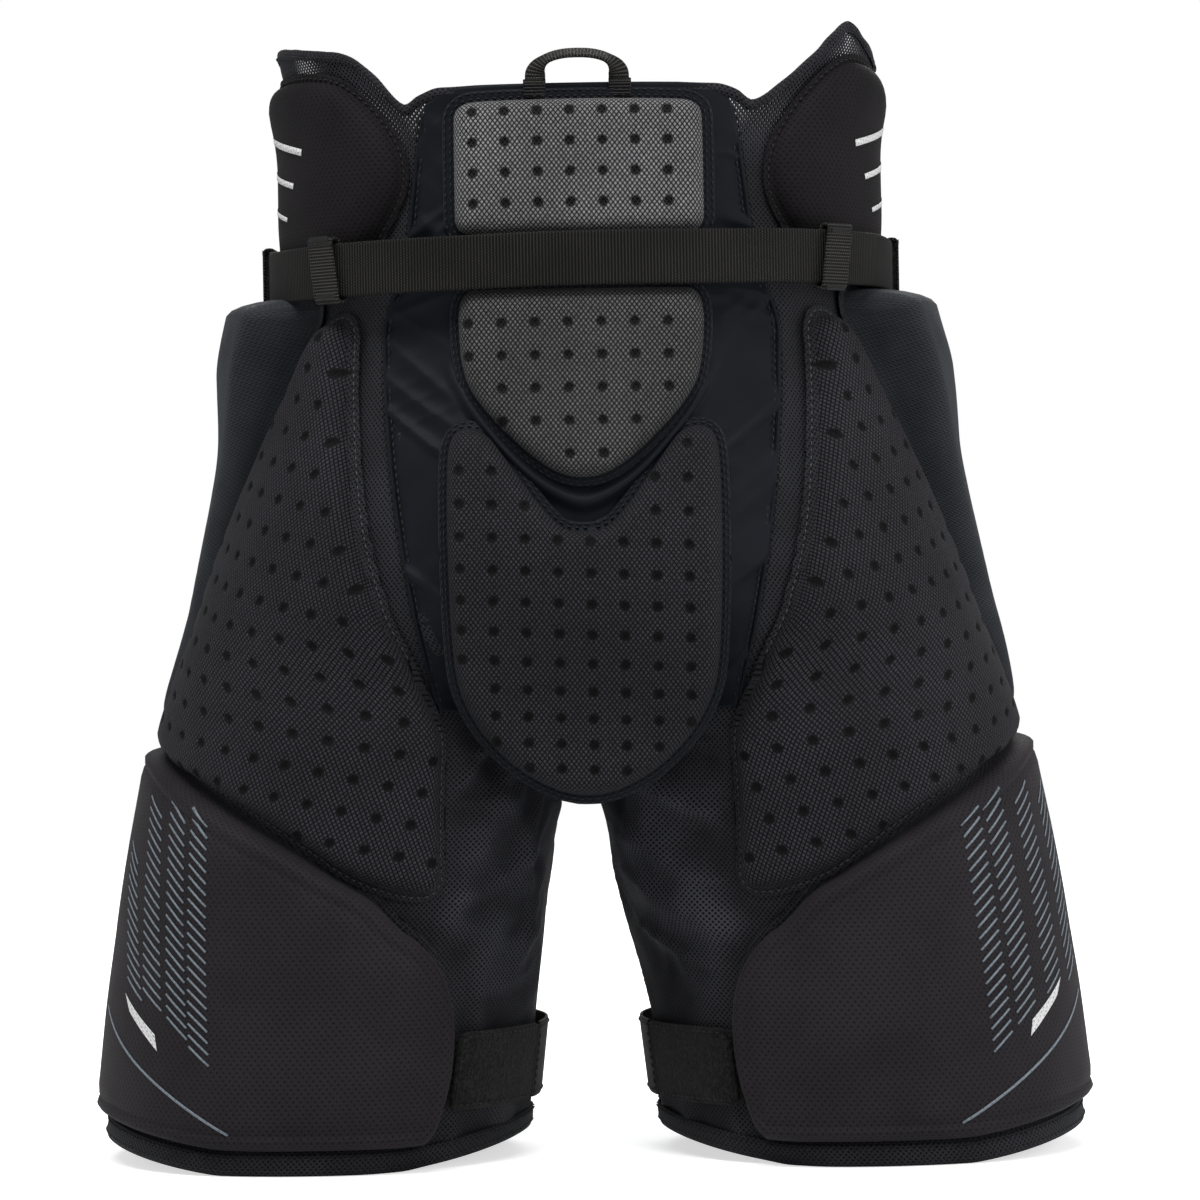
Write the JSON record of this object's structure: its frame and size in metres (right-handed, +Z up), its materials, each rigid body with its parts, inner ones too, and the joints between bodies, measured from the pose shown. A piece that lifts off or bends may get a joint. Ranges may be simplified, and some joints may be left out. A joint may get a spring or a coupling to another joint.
{
  "type": "hockey pants",
  "caption": "Padded mesh hockey girdle with foam back, hip, kidney and thigh pads, a webbing belt with a buckle, a fly flap and two leg straps.",
  "frame": {"origin": "on the floor plane of the leg hems, in the middle of the bounding box and on the plane between the legs", "axes": "+Z up from the hems to the waist, +Y to the front of the wearer, +X to the right side of the wearer"},
  "size_m": [0.4732, 0.2494, 0.526],
  "materials": {
    "stretch_cloth": "smooth four-way stretch cloth",
    "air_mesh": "knitted spacer mesh",
    "light_mesh": "light grey diamond mesh over perforated foam",
    "dark_mesh": "dark grey diamond mesh over perforated foam",
    "ribbed_knit": "ribbed double knit",
    "dotted_tricot": "brushed tricot with a fine dot pattern",
    "webbing": "ribbed polypropylene webbing",
    "hook_and_loop": "hook and loop tape",
    "foam": "closed-cell polyethylene foam",
    "guard_plastic": "moulded polyethylene",
    "buckle_plastic": "moulded acetal"
  },
  "bodies": {
    "waist": {"back_panel": "stretch_cloth", "left_body_panel": "air_mesh", "right_body_panel": "air_mesh", "front_panel": "stretch_cloth", "crotch_gusset": "stretch_cloth", "upper_spine_cover": "light_mesh", "upper_spine_foam": "foam", "lower_spine_cover": "light_mesh", "lower_spine_foam": "foam", "tail_cover": "light_mesh", "tail_plate": "guard_plastic", "tail_foam": "foam", "left_rear_cover": "dark_mesh", "right_rear_cover": "dark_mesh", "left_rear_foam": "foam", "right_rear_foam": "foam", "left_hip_cover": "ribbed_knit", "right_hip_cover": "ribbed_knit", "left_hip_plate": "guard_plastic", "right_hip_plate": "guard_plastic", "left_hip_foam": "foam", "right_hip_foam": "foam", "left_kidney_cover": "dotted_tricot", "right_kidney_cover": "dotted_tricot", "left_kidney_foam": "foam", "right_kidney_foam": "foam", "belt_webbing": "webbing", "belt_loops": "webbing", "belt_anchor_loop": "webbing", "buckle_socket": "buckle_plastic", "grab_loop_ends": "webbing", "fly_loop_strip": "hook_and_loop"},
    "left_leg": {"left_leg_panel": "air_mesh", "left_hem_band": "air_mesh", "left_guard_cover": "dotted_tricot", "left_guard_plate": "guard_plastic", "left_guard_foam": "foam", "left_strap_base": "webbing", "left_loop_patch": "hook_and_loop"},
    "left_strap": {"left_strap_tab": "webbing", "left_strap_hook": "hook_and_loop"},
    "right_leg": {"right_leg_panel": "air_mesh", "right_hem_band": "air_mesh", "right_guard_cover": "dotted_tricot", "right_guard_plate": "guard_plastic", "right_guard_foam": "foam", "right_strap_base": "webbing", "right_loop_patch": "hook_and_loop"},
    "right_strap": {"right_strap_tab": "webbing", "right_strap_hook": "hook_and_loop"},
    "grab_loop": {"grab_loop": "webbing"},
    "fly": {"fly_flap": "stretch_cloth", "fly_hook_strip": "hook_and_loop"},
    "tongue": {"buckle_tongue": "buckle_plastic", "belt_tail": "webbing"},
    "upper_prong": {"upper_prong": "buckle_plastic"},
    "lower_prong": {"lower_prong": "buckle_plastic"}
  },
  "joints": [
    {"name": "left_leg_swing", "type": "hinge", "parent": "waist", "child": "left_leg", "pos_m": [-0.104, 0.0126, 0.196], "axis": [1, 0, 0], "range_deg": [0, 40], "stiffness_Nm_per_rad": 12},
    {"name": "right_leg_swing", "type": "hinge", "parent": "waist", "child": "right_leg", "pos_m": [0.104, 0.0126, 0.196], "axis": [1, 0, 0], "range_deg": [0, 40], "stiffness_Nm_per_rad": 12},
    {"name": "left_strap_peel", "type": "hinge", "parent": "left_leg", "child": "left_strap", "pos_m": [-0.0285, -0.01763, 0.045], "axis": [0.1147, -0.0114, 0.9933], "range_deg": [0, 50]},
    {"name": "right_strap_peel", "type": "hinge", "parent": "right_leg", "child": "right_strap", "pos_m": [0.0285, -0.01763, 0.045], "axis": [-0.1147, -0.0114, 0.9933], "range_deg": [-50, 0]},
    {"name": "grab_loop_fold", "type": "hinge", "parent": "waist", "child": "grab_loop", "pos_m": [0, -0.086, 0.501], "axis": [1, 0, 0], "range_deg": [-80, 80]},
    {"name": "fly_open", "type": "hinge", "parent": "waist", "child": "fly", "pos_m": [-0.024, 0.12378, 0.28008], "axis": [0, -0.0929, 0.9957], "range_deg": [0, 120]},
    {"name": "buckle_pull", "type": "slide", "parent": "waist", "child": "tongue", "axis": [1, 0, 0], "range_m": [0, 0.028]},
    {"name": "upper_prong_close", "type": "hinge", "parent": "tongue", "child": "upper_prong", "pos_m": [0.0065, 0.1176, 0.427], "axis": [0, 1, 0], "range_deg": [-8.5, 0]},
    {"name": "lower_prong_close", "type": "hinge", "parent": "tongue", "child": "lower_prong", "pos_m": [0.0065, 0.1176, 0.409], "axis": [0, 1, 0], "range_deg": [0, 8.5]}
  ],
  "couplings": [
    {"joint": "upper_prong_close", "follows": "buckle_pull", "rad_per_m": -5.236},
    {"joint": "lower_prong_close", "follows": "buckle_pull", "rad_per_m": 5.236}
  ]
}
